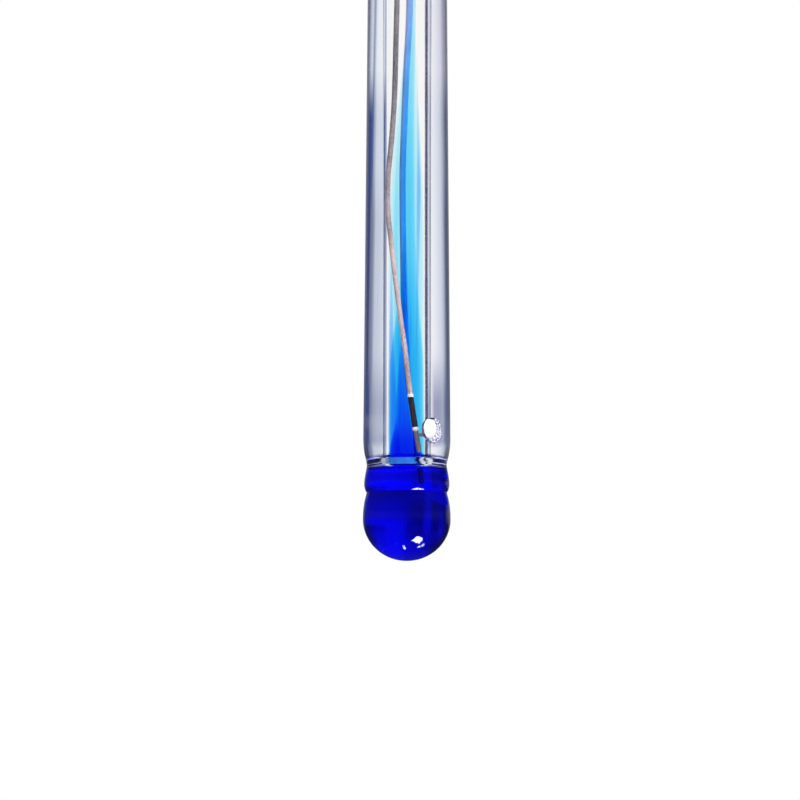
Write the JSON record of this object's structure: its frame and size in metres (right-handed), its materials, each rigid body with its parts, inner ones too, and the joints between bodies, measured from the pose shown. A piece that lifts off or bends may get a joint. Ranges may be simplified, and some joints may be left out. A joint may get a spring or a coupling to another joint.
{
  "type": "ph electrode",
  "caption": "Combination pH electrode: clear glass shaft with an inner stem, silver wires, ceramic junction and blue membrane bulb under a plug head with a sliding refill ring.",
  "frame": {"origin": "on the shaft's axis, at the level of the head's lower face, where the shaft leaves the head", "axes": "+Z along the shaft, away from the bulb and towards the plug; the ceramic junction looks between -Y and +X, and the refill port looks along -Y"},
  "size_m": [0.019, 0.019, 0.174],
  "materials": {
    "clear_glass": "fire-polished",
    "membrane_glass": "fire-polished",
    "blue_buffer": "liquid",
    "electrolyte": "liquid",
    "silver": "drawn wire, lightly tarnished",
    "silver_chloride": "matt electrolytic coating",
    "white_ceramic": "porous, unglazed",
    "seal_rubber": "moulded",
    "epoxy": "cast",
    "head_plastic": "fine-grained moulding",
    "slider_plastic": "fine-grained moulding",
    "marker_plastic": "moulded",
    "nickel_plate": "satin nickel plate",
    "gold_plate": "gold plate",
    "ptfe": "turned",
    "lead_sleeve": "extruded"
  },
  "bodies": {
    "electrode": {"outer_shaft": "clear_glass", "inner_stem": "clear_glass", "junction_collar": "clear_glass", "membrane_bulb": "membrane_glass", "buffer_fill": "blue_buffer", "reference_electrolyte": "electrolyte", "reference_wire": "silver", "measuring_wire": "silver", "junction_bridge": "silver", "reference_coating": "silver_chloride", "measuring_coating": "silver_chloride", "coating_beads": "white_ceramic", "ceramic_junction": "white_ceramic", "annulus_seal": "seal_rubber", "stem_stopper": "seal_rubber", "shaft_gasket": "seal_rubber", "connector_gasket": "seal_rubber", "shaft_adhesive": "epoxy", "head_potting": "epoxy", "head_shell": "head_plastic", "marker_ring": "marker_plastic", "connector_body": "nickel_plate", "shield_contact": "gold_plate", "centre_contact": "gold_plate", "connector_insulator": "ptfe", "centre_lead": "lead_sleeve", "shield_lead": "lead_sleeve"},
    "refill_ring": {"refill_slider": "slider_plastic", "slider_seals": "seal_rubber"}
  },
  "joints": [
    {"name": "refill_slide", "type": "slide", "parent": "electrode", "child": "refill_ring", "axis": [0, 0, 1], "range_m": [0, 0.0108]}
  ]
}
